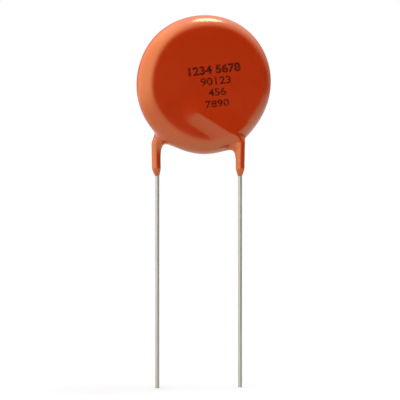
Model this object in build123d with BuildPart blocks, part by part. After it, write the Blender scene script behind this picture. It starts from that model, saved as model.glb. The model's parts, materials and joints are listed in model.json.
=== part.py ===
"""Ceramic disc capacitor with radial leads, in millimetres.

The frame's origin is midway between the two leads, on the seating plane that the ends of the
coated legs would touch on a circuit board. +Z is up, X runs from lead to lead, and the front
face of the disc looks towards -Y.
"""

import math
import os

from build123d import *

# Coated body
body_diameter = 22.0        # across the coated disc
body_thickness = 4.6        # over both coated faces
body_edge_radius = 1.6      # rounding where a face turns into the rim
body_shift = 0.85           # disc's centre to the +X side of the leads' middle
standoff = 3.6              # seating plane to the lowest point of the disc
face_coat = 0.95            # coating over an electrode
rim_coat = 1.2              # coating round the ceramic's edge
wire_coat = 0.38            # coating round the wire, in the legs and over the joints

# Coated legs
tip_length = 1.25           # stretch in which a leg's coating runs out to the wire
tip_shoulder = 0.6          # rounding between that stretch and the leg
tip_lip = 0.05              # coating left round the wire where it ends

# Ceramic, electrodes and solder
ceramic_edge_radius = 0.15
electrode_thickness = 0.05
electrode_margin = 0.6      # bare ceramic between an electrode and the edge
solder_under = 0.04         # solder between electrode and wire
solder_cover = 0.06         # solder over the wire
joint_length = 4.0          # wire that is soldered down
joint_width = 2.0           # footprint of the solder on the electrode
joint_slope = 35            # degrees by which the solder's sides lean in

# Leads
wire_diameter = 0.64
lead_pitch = 12.7
lead_length = 33.3          # bare wire below the seating plane
leg_lean = 1.0              # degrees that a lead leans outwards inside its coated leg
bend_radius = 1.2           # on the wire's axis
bend_height = 2.2           # corner of the bend above the lowest point of the disc
inner_angle = 29.6          # degrees above the horizontal for the end on the electrode
inner_run = 8.5             # from the corner to the end on the electrode

# Worked out from the above
body_radius = body_diameter / 2
disc_centre = (body_shift, standoff + body_radius)
ceramic_radius = body_radius - rim_coat
ceramic_thickness = body_thickness - 2 * (face_coat + electrode_thickness)
electrode_radius = ceramic_radius - electrode_margin
electrode_face = ceramic_thickness / 2 + electrode_thickness
wire_radius = wire_diameter / 2
wire_plane = electrode_face + solder_under + wire_radius
leg_radius = wire_radius + wire_coat
lead_x = lead_pitch / 2
sleeve_z = tip_length + tip_shoulder
bend_z = standoff + bend_height
lean = math.radians(leg_lean)
across_leg = (math.cos(lean), 0, -math.sin(lean))
bend_corner = (lead_x + bend_z * math.tan(lean), bend_z)
inner_end = (
    bend_corner[0] - inner_run * math.cos(math.radians(inner_angle)),
    bend_corner[1] + inner_run * math.sin(math.radians(inner_angle)),
)

# Planes parallel to the disc's faces, facing the front: local y is Z, or leans with the leg
front_wires = Plane.XZ.offset(wire_plane)
front_of_electrode = Plane.XZ.offset(electrode_face)
front_leg = Plane((lead_x, -wire_plane, 0), x_dir=across_leg, z_dir=(0, -1, 0))
turned_about = (0, 0, 180)  # carries the front lead's side to the back lead's

os.makedirs("parts", exist_ok=True)


def finish(piece, label):
    """Name a finished piece and write it as parts/label.step."""
    piece.part.label = label
    export_step(piece.part, f"parts/{label}.step")


# Ceramic disc
with BuildPart() as ceramic_disc:
    with BuildSketch(Plane.XZ) as ceramic_outline:
        with Locations(disc_centre):
            Circle(ceramic_radius)
    extrude(amount=ceramic_thickness / 2, both=True)
    fillet(ceramic_disc.edges().filter_by(GeomType.CIRCLE), ceramic_edge_radius)

# Silver electrodes fired on its two faces
with BuildPart() as front_electrode:
    with BuildSketch(Plane.XZ.offset(ceramic_thickness / 2)) as electrode_outline:
        with Locations(disc_centre):
            Circle(electrode_radius)
    extrude(amount=electrode_thickness)

with BuildPart() as back_electrode:
    add(front_electrode.part.mirror(Plane.XZ))

# Leads: straight wire, one bend, and the end that lies across an electrode
with BuildPart() as front_lead:
    with BuildLine(front_wires) as wire_route:
        Line((lead_x, -lead_length), (lead_x, 0))
        FilletPolyline((lead_x, 0), bend_corner, inner_end, radius=bend_radius)
    with BuildSketch(Plane.XY.offset(-lead_length)) as wire_section:
        with Locations((lead_x, -wire_plane)):
            Circle(wire_radius)
    sweep(path=wire_route.line, transition=Transition.RIGHT)

with BuildPart() as back_lead:
    add(front_lead.part, rotation=turned_about)

# Solder: a low mound along the end of each lead
with BuildPart() as front_solder:
    joint_middle = wire_route.line @ 1 - (wire_route.line % 1) * joint_length / 2
    with BuildSketch(front_of_electrode) as joint_outline:
        with Locations((joint_middle.X, joint_middle.Z)):
            SlotCenterToCenter(joint_length, joint_width, rotation=-inner_angle)
    extrude(amount=solder_under + wire_diameter + solder_cover, taper=joint_slope)
    add(front_lead.part, mode=Mode.SUBTRACT)

with BuildPart() as back_solder:
    add(front_solder.part, rotation=turned_about)

# The coating's skin along a lead: the leg with its tapered tip, and the ridge over the joint
with BuildPart() as front_sleeve:
    with BuildSketch(front_leg) as tip_profile:
        with BuildLine():
            tip_end = (wire_radius + tip_lip, 0)
            tip_top = (leg_radius, sleeve_z)
            FilletPolyline(tip_end, (leg_radius, tip_length), tip_top, radius=tip_shoulder)
            Polyline(tip_top, (0, sleeve_z), (0, 0), tip_end)
        make_face()
    revolve(axis=Axis(front_leg.origin, front_leg.y_dir))
    with BuildLine(front_wires) as sleeve_route:
        sleeve_start = front_leg.from_local_coords((0, sleeve_z))
        FilletPolyline((sleeve_start.X, sleeve_start.Z), bend_corner, inner_end, radius=bend_radius)
    with BuildSketch(Plane(sleeve_route.line @ 0, z_dir=front_leg.y_dir)) as sleeve_section:
        Circle(leg_radius)
    sweep(path=sleeve_route.line)
    with Locations(sleeve_route.line @ 1):
        Sphere(leg_radius)

# Dipped coating: one skin round the disc and both legs, filled round everything inside
with BuildPart() as coating:
    with BuildSketch(Plane.XZ) as body_outline:
        with Locations(disc_centre):
            Circle(body_radius)
    extrude(amount=body_thickness / 2, both=True)
    fillet(coating.edges().filter_by(GeomType.CIRCLE), body_edge_radius)
    add(front_sleeve.part)
    add(front_sleeve.part, rotation=turned_about)
    for inside in (ceramic_disc, front_electrode, back_electrode, front_solder, back_solder):
        add(inside.part, mode=Mode.SUBTRACT)
    add(front_lead.part, mode=Mode.SUBTRACT)
    add(back_lead.part, mode=Mode.SUBTRACT)

finish(coating, "coating")
finish(ceramic_disc, "ceramic_disc")
finish(front_electrode, "front_electrode")
finish(back_electrode, "back_electrode")
finish(front_solder, "front_solder")
finish(back_solder, "back_solder")
finish(front_lead, "front_lead")
finish(back_lead, "back_lead")
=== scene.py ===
"""Looks of a radial ceramic disc capacitor, built round its packed construction.

Metres throughout, in the construction's frame: +Z up, X from lead to lead, the front face
towards -Y, and the origin midway between the leads, where the coated legs end.
"""

import json
import math

import bmesh
import bpy
import numpy as np
from mathutils import Matrix, Vector


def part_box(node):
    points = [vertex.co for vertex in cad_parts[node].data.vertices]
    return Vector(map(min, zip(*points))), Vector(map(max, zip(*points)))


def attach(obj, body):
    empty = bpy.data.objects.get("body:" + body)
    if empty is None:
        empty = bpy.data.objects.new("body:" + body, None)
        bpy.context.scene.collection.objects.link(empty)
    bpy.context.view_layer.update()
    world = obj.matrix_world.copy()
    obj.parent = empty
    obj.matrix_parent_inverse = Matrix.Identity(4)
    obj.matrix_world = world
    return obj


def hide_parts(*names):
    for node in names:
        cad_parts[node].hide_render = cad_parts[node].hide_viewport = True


MM = 0.001

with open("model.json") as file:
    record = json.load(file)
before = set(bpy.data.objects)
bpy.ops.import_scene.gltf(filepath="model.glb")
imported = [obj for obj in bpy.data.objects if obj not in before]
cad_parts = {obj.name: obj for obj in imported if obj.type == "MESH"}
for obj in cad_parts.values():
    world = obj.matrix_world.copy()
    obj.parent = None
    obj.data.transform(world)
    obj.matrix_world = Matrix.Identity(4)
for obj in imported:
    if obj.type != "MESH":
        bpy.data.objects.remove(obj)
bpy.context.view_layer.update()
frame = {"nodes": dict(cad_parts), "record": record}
scene = bpy.context.scene

# ---------------------------------------------------------------- sizes, from the frame
mounts = {m["name"]: m for m in frame["record"]["mounts"]}
lead_exit = Vector(mounts["front_lead"]["pos_m"]) * Vector((1, 1, 0))
wire_radius = mounts["front_lead"]["dims"]["r_mm"] * MM
lead_low, lead_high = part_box("front_lead")
ceramic_low, ceramic_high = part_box("ceramic_disc")
electrode_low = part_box("front_electrode")[0]
coating_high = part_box("coating")[1]

disc_centre = (ceramic_low + ceramic_high) / 2
disc_radius = coating_high.z - disc_centre.z
disc_bottom = disc_centre.z - disc_radius

# ---------------------------------------------------------------- sizes, of the dipped disc
face_coat = 0.86 * MM           # over an electrode, away from the wire
rim_growth = 0.24 * MM          # of the rim beyond the constructed radius
edge_width = 2.05 * MM          # how far in from the rim the face starts to turn over
edge_depth = 2.0 * MM           # how far back from the face the rim starts to turn over
edge_power = 1.55               # below 2, the turn is flatter in its middle than an ellipse's
edge_easing = 0.28              # share of its width over which the turn sets in
# unevenness of the rim: waves round it, their height, and where they start
rim_waves = (
    (1, 0.12 * MM, 1.55),
    (2, 0.27 * MM, 0.73),
    (3, 0.09 * MM, -0.24),
    (4, 0.04 * MM, 0.0),
    (5, 0.03 * MM, 2.1),
)
face_wave = 0.012 * MM          # height of the slow unevenness of a face
face_wave_across = 2.6 * MM     # its length over a radian, across
face_wave_up = 3.1 * MM         # and up the face
face_wave_starts = (1.0, 0.4)   # where it starts, across and up

# ---------------------------------------------------------------- sizes, of the coated wires
wire_coat = 0.38 * MM           # round a wire
inner_thin = 0.20 * MM          # how much thinner that is round the wire's run inside the disc
back_leg_aside = 0.13 * MM      # how far the coating is off the wire's middle on the back leg
tip_length = 1.3 * MM           # tapered end of a coated leg
tip_shape = 1.35                # above 1, the taper is convex like a bullet's
tip_bite = 0.02 * MM            # how far the taper's end sinks into the wire
bend_height = 2.2 * MM          # corner of the lead above the disc's lowest point
inner_angle = math.radians(29.6)
bend_radius = 1.2 * MM          # of the lead, on its axis
ridge_height = 0.26 * MM        # of the mound that the coating makes over a soldered wire
ridge_above = 2.9 * MM          # reach of the mound's upper side
ridge_below = 2.1 * MM          # reach of its lower side
ridge_crest = 0.45 * MM         # rounding of the mound's crest
ridge_fade = 1.4                # above 1, the mound's foot is hollow
ridge_turn = 1.5                # above 1, the upper side's reach holds for more of the way round
face_blend = 0.5 * MM           # hollow between a wire's coating and the face
inner_blend = 3.6 * MM          # hollow between a leg and the rim, on the side under the disc
outer_blend = 2.3 * MM          # and on the leg's outer side
front_blend = 0.2               # share of those that is left on the outermost face of a leg

# ---------------------------------------------------------------- sizes, of the meshes
bend_steps = 8                  # straight stretches that stand for the bend in the coating
rough_sides = 24                # of the drum and the bars in the coating's rough start
skin_grid = 0.16 * MM           # spacing of the coating's mesh
skin_rounds = 12                # times that mesh is evened out and drawn onto its surface
slope_step = 0.01 * MM          # over which the surface's slope is measured
wire_sides = 40
wire_bend_steps = 24
wire_sharp = math.radians(50)   # a turn this sharp is an edge, as at a wire's cut end

# ---------------------------------------------------------------- sizes, of the marking
ink_depth = 0.02 * MM
ink_lift = ink_depth / 4        # of the film's middle over the coating
ink_join = 0.0005 * MM          # points nearer than this are one
sight_start = 10 * MM           # in front of the disc, from where the skin is looked for
marking_tilt = math.radians(7.2)
# characters, place of their middle right of and above the disc's middle, width, height,
# and how much their strokes are fattened, as a share of the font's size
marking_lines = (
    ("1234 5678", 0.95 * MM, 2.22 * MM, 8.9 * MM, 1.42 * MM, 0.034),
    ("90123", 1.14 * MM, 0.43 * MM, 5.2 * MM, 1.22 * MM, 0.014),
    ("456", 1.38 * MM, -1.31 * MM, 3.0 * MM, 1.2 * MM, 0.014),
    ("7890", 1.38 * MM, -3.12 * MM, 4.1 * MM, 1.15 * MM, 0.014),
)

# ---------------------------------------------------------------- worked out from those
half_thickness = -electrode_low.y + face_coat
leg_radius = wire_radius + wire_coat
inner_end = Vector(
    (
        lead_low.x + wire_radius * math.sin(inner_angle),
        lead_exit.y,
        lead_high.z - wire_radius * math.cos(inner_angle),
    )
)
bend_z = disc_bottom + bend_height
bend_x = inner_end.x + (inner_end.z - bend_z) / math.tan(inner_angle)
bend_corner = Vector((bend_x, lead_exit.y, bend_z))
FRONT = Vector((1, 1, 1))
BACK = Vector((-1, -1, 1))      # the front side turned half round


# ---------------------------------------------------------------- small helpers
def add_object(name, data):
    """A new object in the scene that shows this data."""
    thing = bpy.data.objects.new(name, data)
    scene.collection.objects.link(thing)
    return thing


def plain_mesh(thing):
    """What an object and its modifiers come to, as a mesh of its own."""
    graph = bpy.context.evaluated_depsgraph_get()
    return bpy.data.meshes.new_from_object(thing.evaluated_get(graph), depsgraph=graph)


def drop(thing):
    """Takes away an object that only helped to make another."""
    bpy.data.objects.remove(thing)


def linear(hex_colour):
    """An sRGB hex colour as the linear RGBA that a shader reads."""
    channels = [int(hex_colour[i : i + 2], 16) / 255 for i in (1, 3, 5)]
    bright = [c / 12.92 if c <= 0.04045 else ((c + 0.055) / 1.055) ** 2.4 for c in channels]
    return (*bright, 1.0)


def add_node(tree, kind, settings=None, inputs=None):
    """Adds a node. An input goes by its name, or by its number where names repeat, and its
    value is a constant or the output socket that feeds it."""
    node = tree.nodes.new(kind)
    for name, value in (settings or {}).items():
        setattr(node, name, value)
    for key, value in (inputs or {}).items():
        if isinstance(value, bpy.types.NodeSocket):
            tree.links.new(value, node.inputs[key])
        else:
            node.inputs[key].default_value = value
    return node


# ---------------------------------------------------------------- the dipped skin's shape
def rim_swell(turn):
    """How far the dipped rim stands off a true circle, by angle round the disc."""
    return sum(height * np.sin(count * turn + start) for count, height, start in rim_waves)


def face_swell(across, up):
    """The slow unevenness of a dipped face."""
    waves = np.sin(across / face_wave_across + face_wave_starts[0])
    return face_wave * (waves * np.sin(up / face_wave_up + face_wave_starts[1]))


def bar(points, start, end, start_thin, end_thin):
    """Distance of each point from a straight stretch, more by how much thinner its coat is."""
    start, run = np.array(start), np.array(end - start)
    along = np.clip((points - start) @ run / (run @ run), 0, 1)
    off = np.linalg.norm(points - start - along[:, None] * run, axis=1)
    return off + start_thin + (end_thin - start_thin) * along


def blend(a, b, hollow):
    """Union of two distances, with a smooth hollow where they are nearer than that."""
    near = np.maximum(hollow - np.abs(a - b), 0) / hollow
    return np.minimum(a, b) - near**3 * hollow / 6


def bend_points():
    """Points along the rounded bend of the front lead's axis, from the leg to the inner end."""
    down = (lead_exit - bend_corner).normalized()
    along = (inner_end - bend_corner).normalized()
    half_turn = (math.pi - down.angle(along)) / 2
    middle = bend_corner + (down + along).normalized() * (bend_radius / math.cos(half_turn))
    to_leg = bend_corner + down * bend_radius * math.tan(half_turn) - middle
    to_end = bend_corner + along * bend_radius * math.tan(half_turn) - middle
    points = []
    for step in range(bend_steps + 1):
        out = to_leg.normalized().slerp(to_end.normalized(), step / bend_steps)
        points.append(middle + out * bend_radius)
    return points


def wire_skin(points, aside):
    """Distance from the coating round the front lead: its leg, tapered tip and inner run."""
    above_tip = np.clip(points[:, 2] / tip_length, 0, 1)
    taper = 1 - (1 - above_tip) ** tip_shape
    tip_radius = wire_radius - tip_bite
    radius = tip_radius + (leg_radius - tip_radius) * taper
    axis = [lead_exit, *bend_points(), inner_end]
    moved = points - np.outer(taper, (aside, 0, 0))
    thin = [0, *np.linspace(0, inner_thin, bend_steps + 1), inner_thin]
    stretches = zip(axis, axis[1:], thin, thin[1:])
    off = np.min([bar(moved, *stretch) for stretch in stretches], axis=0)
    return np.maximum(off - radius, -points[:, 2])


def ridge(points):
    """Height of the mound over the front lead's soldered end."""
    start = np.array((bend_corner.x, bend_corner.z))
    run = np.array((inner_end.x, inner_end.z)) - start
    flat = points[:, (0, 2)] - start
    along = np.clip(flat @ run / (run @ run), -1, 1)
    off = flat - along[:, None] * run
    distance = np.hypot(off[:, 0], off[:, 1])
    downhill = np.array((run[1], -run[0])) / -np.hypot(run[0], run[1])
    lower = np.clip((1 + off @ downhill / np.maximum(distance, 1e-9)) / 2, 0, 1)
    reach = ridge_above + (ridge_below - ridge_above) * lower**ridge_turn
    fall = (np.hypot(distance, ridge_crest) - ridge_crest) / reach
    return ridge_height * np.clip(1 - fall, 0, 1) ** ridge_fade


def eased(share):
    """Zero below 0 and the share itself well above 0, with a smooth start."""
    return (share + np.hypot(share, edge_easing)) / 2


def root_hollow(points, rim):
    """Hollow between a wire's coating and the disc: wide at a leg's root, slight on the face."""
    outer = np.abs(points[:, 0]) - bend_corner.x
    root_blend = np.interp(outer, (-leg_radius, leg_radius), (inner_blend, outer_blend))
    rimward = np.interp(rim, (disc_radius - edge_width, disc_radius), (0, 1))
    depth = np.abs(points[:, 1]) + lead_exit.y
    sideward = np.interp(depth, (0, leg_radius), (1, front_blend))
    return face_blend + (root_blend - face_blend) * rimward * sideward


def skin(points):
    """The coating's outside, where this is zero: near a signed distance, negative inside."""
    turned = points * BACK
    across = points[:, 0] - disc_centre.x
    up = points[:, 2] - disc_centre.z
    rim = np.hypot(across, up)
    swell = np.where(points[:, 1] < 0, ridge(points), ridge(turned))
    face = half_thickness + swell + face_swell(across, up)
    reach = disc_radius + rim_growth + rim_swell(np.arctan2(up, across))
    out = (rim - reach) / edge_width + 1
    off = (np.abs(points[:, 1]) - face) / edge_depth + 1
    corner = (eased(out) ** edge_power + eased(off) ** edge_power) ** (1 / edge_power)
    disc = (corner + np.minimum(np.maximum(out, off), 0) - 1) * edge_depth
    wires = np.minimum(wire_skin(points, 0), wire_skin(turned, back_leg_aside))
    return blend(disc, wires, root_hollow(points, rim))


def skin_slope(points):
    """Gradient of skin() by central differences."""
    steps = np.eye(3) * slope_step
    sides = [(skin(points + e) - skin(points - e)) / (2 * slope_step) for e in steps]
    return np.stack(sides, axis=1)


def add_bar(shell, start, end, low_radius, high_radius):
    """A rough bar for the skin's starting shape."""
    run = end - start
    turn = run.to_track_quat("Z", "Y").to_matrix().to_4x4()
    bmesh.ops.create_cone(
        shell, cap_ends=True, segments=rough_sides, radius1=low_radius, radius2=high_radius,
        depth=run.length, matrix=Matrix.Translation((start + end) / 2) @ turn,
    )


def rough_coating():
    """The coating's rough start: a drum and bent bars, joined in one even mesh."""
    shell = bmesh.new()
    middle = Vector((disc_centre.x, 0, disc_centre.z))
    back, front = Vector((0, half_thickness, 0)), Vector((0, -half_thickness, 0))
    add_bar(shell, middle + back, middle + front, disc_radius, disc_radius)
    leg_top = lead_exit.lerp(bend_corner, tip_length / bend_z)
    for side in (FRONT, BACK):
        add_bar(shell, lead_exit * side, leg_top * side, wire_radius, leg_radius)
        add_bar(shell, leg_top * side, bend_corner * side, leg_radius, leg_radius)
        add_bar(shell, bend_corner * side, inner_end * side, leg_radius, leg_radius)
    rough = bpy.data.meshes.new("coating_start")
    shell.to_mesh(rough)
    shell.free()
    start = add_object("coating_start", rough)
    remesh = start.modifiers.new("remesh", "REMESH")
    remesh.mode = "VOXEL"
    remesh.voxel_size = skin_grid
    mesh = plain_mesh(start)
    drop(start)
    return mesh


def draw_onto_skin(mesh):
    """Evens out a mesh and moves it onto the surface that skin() gives, normals and all."""
    points = np.empty(len(mesh.vertices) * 3)
    mesh.vertices.foreach_get("co", points)
    points = points.reshape(-1, 3)
    ends = np.empty(len(mesh.edges) * 2, dtype=np.int32)
    mesh.edges.foreach_get("vertices", ends)
    ends = ends.reshape(-1, 2)
    degree = np.bincount(ends.ravel(), minlength=len(points))[:, None]
    for _ in range(skin_rounds):
        total = np.zeros_like(points)
        np.add.at(total, ends[:, 0], points[ends[:, 1]])
        np.add.at(total, ends[:, 1], points[ends[:, 0]])
        points = (points + total / degree) / 2
        slope = skin_slope(points)
        points -= slope * (skin(points) / (slope**2).sum(axis=1))[:, None]
    mesh.vertices.foreach_set("co", points.ravel())
    mesh.update()
    mesh.shade_smooth()
    normals = skin_slope(points)
    normals /= np.linalg.norm(normals, axis=1)[:, None]
    mesh.normals_split_custom_set_from_vertices(normals.tolist())


def make_coating(material):
    """The dipped skin round the disc and both legs."""
    mesh = rough_coating()
    draw_onto_skin(mesh)
    mesh.materials.clear()
    mesh.materials.append(material)
    coating = add_object("dipped_coating", mesh)
    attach(coating, "root")
    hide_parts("coating")
    return coating


# ---------------------------------------------------------------- materials
def new_material(name):
    """An empty material: its tree, and the output that a shader goes to."""
    material = bpy.data.materials.new(name)
    material.use_nodes = True
    material.node_tree.nodes.clear()
    out = add_node(material.node_tree, "ShaderNodeOutputMaterial")
    return material, material.node_tree, out


def dipped_epoxy():
    """Pigmented epoxy, dipped and baked: deep orange, with a wet gloss over slow waves."""
    material, tree, out = new_material("dipped_epoxy")
    where = add_node(tree, "ShaderNodeTexCoord").outputs["Object"]
    cloud = add_node(
        tree, "ShaderNodeTexNoise", {},
        {"Vector": where, "Scale": 1 / (5 * MM), "Detail": 3.0, "Roughness": 0.55},
    )
    colour = add_node(
        tree, "ShaderNodeMix", {"data_type": "RGBA"},
        {0: cloud.outputs["Fac"], 6: linear("#982303"), 7: linear("#A12804")},
    )
    gloss = add_node(
        tree, "ShaderNodeMapRange", {},
        {"Value": cloud.outputs["Fac"], "To Min": 0.17, "To Max": 0.25},
    )
    peel = add_node(
        tree, "ShaderNodeTexNoise", {},
        {"Vector": where, "Scale": 1 / (1.1 * MM), "Detail": 2.0},
    )
    bump = add_node(
        tree, "ShaderNodeBump", {},
        {"Strength": 0.2, "Distance": 0.01 * MM, "Height": peel.outputs["Fac"]},
    )
    shader = add_node(
        tree, "ShaderNodeBsdfPrincipled", {},
        {
            "Base Color": colour.outputs[2],
            "Roughness": gloss.outputs["Result"],
            "Normal": bump.outputs["Normal"],
            "IOR": 1.55,
            "Specular IOR Level": 0.9,
            "Specular Tint": linear("#FFF1AE"),
        },
    )
    tree.links.new(shader.outputs["BSDF"], out.inputs["Surface"])
    return material


def tinned_copper():
    """Drawn copper wire, hot tinned: a dull pale grey, with copper bare where it was cut."""
    cut_depth = 0.02 * MM
    material, tree, out = new_material("tinned_copper_wire")
    where = add_node(tree, "ShaderNodeTexCoord").outputs["Object"]
    drawn = add_node(
        tree, "ShaderNodeMapping", {},
        {"Vector": where, "Scale": (1.0, 1.0, 0.06)},
    )
    streak = add_node(
        tree, "ShaderNodeTexNoise", {},
        {"Vector": drawn.outputs["Vector"], "Scale": 1 / (0.15 * MM), "Detail": 3.0},
    )
    tin = add_node(
        tree, "ShaderNodeMix", {"data_type": "RGBA"},
        {0: streak.outputs["Fac"], 6: linear("#868883"), 7: linear("#ABADA7")},
    )
    height = add_node(tree, "ShaderNodeSeparateXYZ", {}, {"Vector": where})
    cut = add_node(
        tree, "ShaderNodeMath", {"operation": "LESS_THAN"},
        {0: height.outputs["Z"], 1: lead_low.z + cut_depth / 2},
    )
    colour = add_node(
        tree, "ShaderNodeMix", {"data_type": "RGBA"},
        {0: cut.outputs["Value"], 6: tin.outputs[2], 7: linear("#C98A64")},
    )
    gloss = add_node(
        tree, "ShaderNodeMapRange", {},
        {"Value": streak.outputs["Fac"], "To Min": 0.42, "To Max": 0.58},
    )
    bump = add_node(
        tree, "ShaderNodeBump", {},
        {"Strength": 0.3, "Distance": 0.01 * MM, "Height": streak.outputs["Fac"]},
    )
    shader = add_node(
        tree, "ShaderNodeBsdfPrincipled", {},
        {
            "Base Color": colour.outputs[2],
            "Roughness": gloss.outputs["Result"],
            "Normal": bump.outputs["Normal"],
            "Metallic": 1.0,
        },
    )
    tree.links.new(shader.outputs["BSDF"], out.inputs["Surface"])
    return material


def stamped_ink():
    """Dark ink from a rubber stamp: matt and uneven, and redder where the film is thin."""
    material, tree, out = new_material("stamped_ink")
    where = add_node(tree, "ShaderNodeTexCoord").outputs["Object"]
    film = add_node(
        tree, "ShaderNodeTexNoise", {},
        {"Vector": where, "Scale": 1 / (0.55 * MM), "Detail": 4.0, "Roughness": 0.65},
    )
    thin = add_node(
        tree, "ShaderNodeMapRange", {},
        {"Value": film.outputs["Fac"], "From Min": 0.38, "From Max": 0.72},
    )
    colour = add_node(
        tree, "ShaderNodeMix", {"data_type": "RGBA"},
        {0: thin.outputs["Result"], 6: linear("#1A0402"), 7: linear("#781908")},
    )
    bump = add_node(
        tree, "ShaderNodeBump", {},
        {"Strength": 0.3, "Distance": 0.005 * MM, "Height": film.outputs["Fac"]},
    )
    gloss = add_node(
        tree, "ShaderNodeMapRange", {},
        {"Value": film.outputs["Fac"], "To Min": 0.36, "To Max": 0.26},
    )
    shader = add_node(
        tree, "ShaderNodeBsdfPrincipled", {},
        {
            "Base Color": colour.outputs[2],
            "Roughness": gloss.outputs["Result"],
            "Normal": bump.outputs["Normal"],
            "IOR": 1.5,
            "Specular IOR Level": 0.25,
            "Specular Tint": linear("#FFE6A8"),
        },
    )
    tree.links.new(shader.outputs["BSDF"], out.inputs["Surface"])
    return material


def mottled(name, dark, light, grain, roughness, metallic):
    """A fired or cast surface with a fine two-tone grain and a grain-sized unevenness."""
    material, tree, out = new_material(name)
    where = add_node(tree, "ShaderNodeTexCoord").outputs["Object"]
    speck = add_node(
        tree, "ShaderNodeTexNoise", {},
        {"Vector": where, "Scale": 1 / grain, "Detail": 4.0, "Roughness": 0.6},
    )
    colour = add_node(
        tree, "ShaderNodeMix", {"data_type": "RGBA"},
        {0: speck.outputs["Fac"], 6: linear(dark), 7: linear(light)},
    )
    gloss = add_node(
        tree, "ShaderNodeMapRange", {},
        {"Value": speck.outputs["Fac"], "To Min": roughness - 0.08, "To Max": roughness + 0.08},
    )
    bump = add_node(
        tree, "ShaderNodeBump", {},
        {"Strength": 0.4, "Distance": 0.01 * MM, "Height": speck.outputs["Fac"]},
    )
    shader = add_node(
        tree, "ShaderNodeBsdfPrincipled", {},
        {
            "Base Color": colour.outputs[2],
            "Roughness": gloss.outputs["Result"],
            "Normal": bump.outputs["Normal"],
            "Metallic": metallic,
        },
    )
    tree.links.new(shader.outputs["BSDF"], out.inputs["Surface"])
    return material


def finish_inner_pieces():
    """The pieces sealed inside keep their built shape and get the finish of what they are."""
    # Fired titanate: pale buff, dry and slightly grainy.
    ceramic = mottled("fired_titanate", "#B39A78", "#CDB795", 0.25 * MM, 0.6, 0.0)
    # Silver paste, screened and fired: white and matt, with the mesh's faint grain.
    silver = mottled("fired_silver", "#BDBAB2", "#DCD9D1", 0.12 * MM, 0.5, 1.0)
    # Tin and lead solder, run and frozen: bright grey with dull patches.
    solder = mottled("frozen_solder", "#9C9A94", "#C2C0BA", 0.4 * MM, 0.35, 1.0)
    finishes = {
        "ceramic_disc": ceramic,
        "front_electrode": silver,
        "back_electrode": silver,
        "front_solder": solder,
        "back_solder": solder,
    }
    for node, material in finishes.items():
        materials = frame["nodes"][node].data.materials
        materials.clear()
        materials.append(material)


# ---------------------------------------------------------------- geometry nodes
def new_tree(name, inputs):
    """An empty geometry tree: the tree, its input sockets, and each input's identifier."""
    tree = bpy.data.node_groups.new(name, "GeometryNodeTree")
    tree.interface.new_socket("Geometry", in_out="OUTPUT", socket_type="NodeSocketGeometry")
    tree.interface.new_socket("Geometry", in_out="INPUT", socket_type="NodeSocketGeometry")
    known = {}
    for label, kind in inputs.items():
        socket = tree.interface.new_socket(label, in_out="INPUT", socket_type="NodeSocket" + kind)
        known[label] = socket.identifier
    return tree, add_node(tree, "NodeGroupInput").outputs, known


def end_tree(tree, geometry, material):
    """Ends a tree as real geometry that wears one material."""
    real = add_node(tree, "GeometryNodeRealizeInstances", {}, {"Geometry": geometry})
    dressed = add_node(
        tree, "GeometryNodeSetMaterial", {},
        {"Geometry": real.outputs["Geometry"], "Material": material},
    )
    add_node(tree, "NodeGroupOutput", {}, {"Geometry": dressed.outputs["Geometry"]})


def grown_mesh(thing, tree, values):
    """The plain mesh that a tree makes of an object, with inputs set by their identifiers."""
    modifier = thing.modifiers.new("tree", "NODES")
    modifier.node_group = tree
    for identifier, value in values.items():
        modifier[identifier] = value
    mesh = plain_mesh(thing)
    thing.modifiers.remove(modifier)
    return mesh


# ---------------------------------------------------------------- leads
def lead_tree(material):
    """Round wire swept along a path, with its corners rounded and its ends cut square."""
    tree, given, known = new_tree("drawn_wire", {"Bend radius": "Float", "Wire radius": "Float"})
    bent = add_node(
        tree, "GeometryNodeFilletCurve", {"mode": "POLY"},
        {"Curve": given["Geometry"], "Count": wire_bend_steps, "Radius": given["Bend radius"]},
    )
    section = add_node(
        tree, "GeometryNodeCurvePrimitiveCircle", {},
        {"Resolution": wire_sides, "Radius": given["Wire radius"]},
    )
    wire = add_node(
        tree, "GeometryNodeCurveToMesh", {},
        {
            "Curve": bent.outputs["Curve"],
            "Profile Curve": section.outputs["Curve"],
            "Fill Caps": True,
        },
    )
    end_tree(tree, wire.outputs["Mesh"], material)
    return tree, known


def lead_path(name, side):
    """The corners of a lead: its cut end, where it leaves the coating, its bend, its inner end."""
    cut_end = Vector((lead_exit.x, lead_exit.y, lead_low.z))
    path = bpy.data.curves.new(name, "CURVE")
    path.dimensions = "3D"
    spline = path.splines.new("POLY")
    corners = [corner * side for corner in (cut_end, lead_exit, bend_corner, inner_end)]
    spline.points.add(len(corners) - 1)
    for point, corner in zip(spline.points, corners):
        point.co = (*corner, 1)
    return add_object(name, path)


def make_leads(material):
    """Both leads: the back one is the front one turned half round."""
    tree, known = lead_tree(material)
    values = {known["Bend radius"]: bend_radius, known["Wire radius"]: wire_radius}
    for node, side in (("front_lead", FRONT), ("back_lead", BACK)):
        path = lead_path(node + "_path", side)
        mesh = grown_mesh(path, tree, values)
        drop(path)
        mesh.shade_smooth()
        mesh.set_sharp_from_angle(angle=wire_sharp)
        wire = add_object(node + "_wire", mesh)
        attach(wire, "root")
        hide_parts(node)


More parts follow.
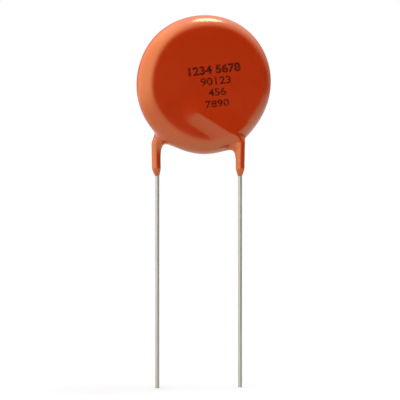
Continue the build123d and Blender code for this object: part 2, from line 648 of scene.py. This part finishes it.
# ---------------------------------------------------------------- marking
def ink_tree(material):
    """Lays flat characters on a surface: each point keeps its own height over it."""
    tree, given, known = new_tree("lay_on_skin", {"Skin": "Object", "Lift": "Float"})
    skin_of = add_node(tree, "GeometryNodeObjectInfo", {}, {"Object": given["Skin"]})
    place = add_node(tree, "GeometryNodeInputPosition").outputs["Position"]
    parts = add_node(tree, "ShaderNodeSeparateXYZ", {}, {"Vector": place})
    start = add_node(
        tree, "ShaderNodeCombineXYZ", {},
        {"X": parts.outputs["X"], "Y": -sight_start, "Z": parts.outputs["Z"]},
    )
    found = add_node(
        tree, "GeometryNodeRaycast", {},
        {
            "Target Geometry": skin_of.outputs["Geometry"],
            "Source Position": start.outputs["Vector"],
            "Ray Direction": (0, 1, 0),
            "Ray Length": 2 * sight_start,
        },
    )
    height = add_node(
        tree, "ShaderNodeMath", {"operation": "SUBTRACT"},
        {0: given["Lift"], 1: parts.outputs["Y"]},
    )
    rise = add_node(
        tree, "ShaderNodeVectorMath", {"operation": "SCALE"},
        {"Vector": found.outputs["Hit Normal"], "Scale": height.outputs["Value"]},
    )
    landed = add_node(
        tree, "ShaderNodeVectorMath", {"operation": "ADD"},
        {0: found.outputs["Hit Position"], 1: rise.outputs["Vector"]},
    )
    laid = add_node(
        tree, "GeometryNodeSetPosition", {},
        {"Geometry": given["Geometry"], "Position": landed.outputs["Vector"]},
    )
    end_tree(tree, laid.outputs["Geometry"], material)
    return tree, known


def marking_line(characters, middle, width, height, weight):
    """One line of characters as a flat mesh in the XZ plane, drawn to a width and height."""
    text = bpy.data.curves.new("marking_line", "FONT")
    text.body = characters
    text.offset = weight
    text.extrude = 1
    text.resolution_u = 4
    holder = add_object("marking_line", text)
    mesh = plain_mesh(holder)
    drop(holder)
    box = np.array([v.co for v in mesh.vertices])
    low, high = box.min(axis=0), box.max(axis=0)
    size = high - low
    centred = Matrix.Translation(-Vector((low + high) / 2))
    sized = Matrix.Diagonal((width / size[0], height / size[1], ink_depth / size[2], 1))
    tilted = Matrix.Rotation(marking_tilt, 4, "Z")
    placed = Matrix.Translation((middle[0], middle[1], 0))
    upright = Matrix.Rotation(math.pi / 2, 4, "X")
    mesh.transform(upright @ placed @ tilted @ sized @ centred)
    return mesh


def make_marking(coating, material):
    """Lines of plain digits on the front face, as one thin film of ink."""
    film = bmesh.new()
    for characters, across, up, width, height, weight in marking_lines:
        middle = (disc_centre.x + across, disc_centre.z + up)
        film.from_mesh(marking_line(characters, middle, width, height, weight))
    bmesh.ops.remove_doubles(film, verts=film.verts, dist=ink_join)
    bmesh.ops.recalc_face_normals(film, faces=film.faces)
    flat = bpy.data.meshes.new("marking_flat")
    film.to_mesh(flat)
    film.free()
    marking = add_object("ink_marking", flat)
    tree, known = ink_tree(material)
    values = {known["Skin"]: coating, known["Lift"]: ink_lift}
    marking.data = grown_mesh(marking, tree, values)
    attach(marking, "root")


# ---------------------------------------------------------------- stage, light and camera
camera_azimuth = math.radians(-22)
camera_distance = 300 * MM
view_width = 63.1 * MM
view_middle = Vector((0.2 * MM, 0, -3.7 * MM))     # x is across the view

key_direction = Vector((0.327, -0.051, 0.944)).normalized()
key_strength = 1.25
key_spread = math.radians(21)
haze_level = 1.6                # radiance of the cloth round the key lamp
haze_edge = (0.42, 1.0)         # cosine of the angle from the key, from outside to its middle
front_level = 0.03              # of the studio behind the camera
wall_level = 0.6                # of the wall behind the object
wall_edge = (-0.4, 0.3)         # headings along Y where the front ends and the wall begins
diffuser_heading = (-1.0, 0.0, 0.25)    # the diffuser stands on the left and leans overhead
diffuser_edge = (-0.15, 0.38)   # headings along that where the diffuser fades in
diffuser_near = 1.2             # its radiance beside the camera
diffuser_far = 2.9              # and square to the object
diffuser_span = (0.12, 0.68)    # headings between which it goes from one to the other
diffuser_end = (0.95, 0.45)     # headings along Y where it fades out behind the object

floor_reach = 600 * MM
floor_lift = 0.16               # of the table's white, for the camera
painted_pool_level = 0.52               # of the painted pool of light on the table, seen only in gloss, under the object
pool_edge = (40 * MM, 330 * MM)         # how far out that fades
painted_left_level = 1.6                # and of the painted light under the diffuser, also seen only in gloss
left_edge = (-30 * MM, -260 * MM)       # from where on the left to where that grows

across_view = Vector((math.cos(camera_azimuth), math.sin(camera_azimuth), 0))
towards_camera = Vector((math.sin(camera_azimuth), -math.cos(camera_azimuth), 0))


def make_camera():
    """A level view of the front, from a little to its left."""
    data = bpy.data.cameras.new("camera")
    data.sensor_width = 36
    data.lens = data.sensor_width * camera_distance / view_width
    data.clip_start = 10 * MM
    data.clip_end = 10
    camera = add_object("camera", data)
    aim = across_view * view_middle.x + Vector((0, 0, view_middle.z))
    camera.location = aim + towards_camera * camera_distance
    camera.rotation_euler = (math.pi / 2, 0, camera_azimuth)
    scene.camera = camera


def make_key():
    """A round overhead lamp, as even over the whole table as one far away."""
    data = bpy.data.lights.new("overhead_key", "SUN")
    data.energy = key_strength
    data.angle = key_spread
    lamp = add_object("overhead_key", data)
    lamp.rotation_euler = key_direction.to_track_quat("Z", "Y").to_euler()


def wall_light(tree, heading):
    """The pale wall behind the object, and the dark front."""
    parts = add_node(tree, "ShaderNodeSeparateXYZ", {}, {"Vector": heading})
    wall = add_node(
        tree, "ShaderNodeMapRange", {"interpolation_type": "SMOOTHSTEP"},
        {
            "Value": parts.outputs["Y"], "From Min": wall_edge[0], "From Max": wall_edge[1],
            "To Min": front_level, "To Max": wall_level,
        },
    )
    light = add_node(
        tree, "ShaderNodeBackground", {},
        {"Color": linear("#FFEACD"), "Strength": wall.outputs["Result"]},
    )
    return light.outputs["Background"]


def diffuser_light(tree, heading):
    """The tall warm diffuser: its light, and the share of each heading that it covers."""
    parts = add_node(tree, "ShaderNodeSeparateXYZ", {}, {"Vector": heading})
    leftward = add_node(
        tree, "ShaderNodeVectorMath", {"operation": "DOT_PRODUCT"},
        {0: heading, 1: diffuser_heading},
    )
    beside = add_node(
        tree, "ShaderNodeMapRange", {"interpolation_type": "SMOOTHSTEP"},
        {
            "Value": leftward.outputs["Value"],
            "From Min": diffuser_edge[0], "From Max": diffuser_edge[1],
        },
    )
    before = add_node(
        tree, "ShaderNodeMapRange", {"interpolation_type": "SMOOTHSTEP"},
        {"Value": parts.outputs["Y"], "From Min": diffuser_end[0], "From Max": diffuser_end[1]},
    )
    share = add_node(
        tree, "ShaderNodeMath", {"operation": "MULTIPLY"},
        {0: beside.outputs["Result"], 1: before.outputs["Result"]},
    )
    level = add_node(
        tree, "ShaderNodeMapRange", {},
        {
            "Value": leftward.outputs["Value"],
            "From Min": diffuser_span[0], "From Max": diffuser_span[1],
            "To Min": diffuser_near, "To Max": diffuser_far,
        },
    )
    light = add_node(
        tree, "ShaderNodeBackground", {},
        {"Color": linear("#FFF6EA"), "Strength": level.outputs["Result"]},
    )
    return light.outputs["Background"], share.outputs["Value"]


def haze_light(tree, heading):
    """The lit cloth round the key lamp."""
    nearness = add_node(
        tree, "ShaderNodeVectorMath", {"operation": "DOT_PRODUCT"},
        {0: heading, 1: key_direction},
    )
    haze = add_node(
        tree, "ShaderNodeMapRange", {"interpolation_type": "SMOOTHSTEP"},
        {
            "Value": nearness.outputs["Value"], "From Min": haze_edge[0], "From Max": haze_edge[1],
            "To Min": 0.0, "To Max": haze_level,
        },
    )
    light = add_node(
        tree, "ShaderNodeBackground", {},
        {"Color": (1, 1, 1, 1), "Strength": haze.outputs["Result"]},
    )
    return light.outputs["Background"]


def make_world():
    """A studio with a tall warm diffuser on the left, a pale wall behind and a dark front.

    The camera sees plain white.
    """
    world = bpy.data.worlds.new("studio")
    scene.world = world
    world.use_nodes = True
    tree = world.node_tree
    tree.nodes.clear()
    heading = add_node(tree, "ShaderNodeTexCoord").outputs["Generated"]
    diffuser, share = diffuser_light(tree, heading)
    room = add_node(
        tree, "ShaderNodeMixShader", {},
        {0: share, 1: wall_light(tree, heading), 2: diffuser},
    )
    studio = add_node(
        tree, "ShaderNodeAddShader", {},
        {0: room.outputs["Shader"], 1: haze_light(tree, heading)},
    )
    rays = add_node(tree, "ShaderNodeLightPath")
    white = add_node(tree, "ShaderNodeBackground", {}, {"Color": (1, 1, 1, 1), "Strength": 1.0})
    seen = add_node(
        tree, "ShaderNodeMixShader", {},
        {
            0: rays.outputs["Is Camera Ray"],
            1: studio.outputs["Shader"],
            2: white.outputs["Background"],
        },
    )
    add_node(tree, "ShaderNodeOutputWorld", {}, {"Surface": seen.outputs["Shader"]})


def table_glow(tree):
    """Table emission: even white for the camera, and in gloss a painted pool of light."""
    where = add_node(tree, "ShaderNodeTexCoord").outputs["Object"]
    away = add_node(tree, "ShaderNodeVectorMath", {"operation": "LENGTH"}, {0: where})
    # painted pool of light under the object, an emission that only gloss shows
    pool = add_node(
        tree, "ShaderNodeMapRange", {"interpolation_type": "SMOOTHSTEP"},
        {
            "Value": away.outputs["Value"], "From Min": pool_edge[0], "From Max": pool_edge[1],
            "To Min": painted_pool_level, "To Max": 0.0,
        },
    )
    parts = add_node(tree, "ShaderNodeSeparateXYZ", {}, {"Vector": where})
    # painted light on the table's left, under the diffuser, that only gloss shows
    left = add_node(
        tree, "ShaderNodeMapRange", {"interpolation_type": "SMOOTHSTEP"},
        {
            "Value": parts.outputs["X"], "From Min": left_edge[0], "From Max": left_edge[1],
            "To Min": 0.0, "To Max": painted_left_level,
        },
    )
    bright = add_node(
        tree, "ShaderNodeMath", {"operation": "ADD"},
        {0: pool.outputs["Result"], 1: left.outputs["Result"]},
    )
    rays = add_node(tree, "ShaderNodeLightPath")
    # the painted pool of light is emitted for glossy rays only
    painted_pool_in_gloss = add_node(
        tree, "ShaderNodeMath", {"operation": "MULTIPLY"},
        {0: rays.outputs["Is Glossy Ray"], 1: bright.outputs["Value"]},
    )
    lift = add_node(
        tree, "ShaderNodeMath", {"operation": "MULTIPLY_ADD"},
        {0: rays.outputs["Is Camera Ray"], 1: floor_lift, 2: painted_pool_in_gloss.outputs["Value"]},
    )
    glow = add_node(
        tree, "ShaderNodeEmission", {},
        {"Color": linear("#FFFAF2"), "Strength": lift.outputs["Value"]},
    )
    return glow.outputs["Emission"]


def white_table():
    """Matt grey paper that takes the object's soft shadow, and a painted pool of light in gloss.
    """
    material, tree, out = new_material("white_table")
    paper = add_node(tree, "ShaderNodeBsdfDiffuse", {}, {"Color": linear("#A2A5AB")})
    both = add_node(
        tree, "ShaderNodeAddShader", {},
        {0: paper.outputs["BSDF"], 1: table_glow(tree)},
    )
    tree.links.new(both.outputs["Shader"], out.inputs["Surface"])
    return material


def make_floor():
    """The table under the ends of the leads."""
    turns = ((-1, -1), (1, -1), (1, 1), (-1, 1))
    corners = [(x * floor_reach, y * floor_reach, lead_low.z) for x, y in turns]
    mesh = bpy.data.meshes.new("floor")
    mesh.from_pydata(corners, [], [(0, 1, 2, 3)])
    mesh.materials.append(white_table())
    add_object("floor", mesh)


make_camera()
make_world()
make_floor()
make_key()
scene.view_settings.view_transform = "Standard"

coating = make_coating(dipped_epoxy())
make_leads(tinned_copper())
make_marking(coating, stamped_ink())
finish_inner_pieces()
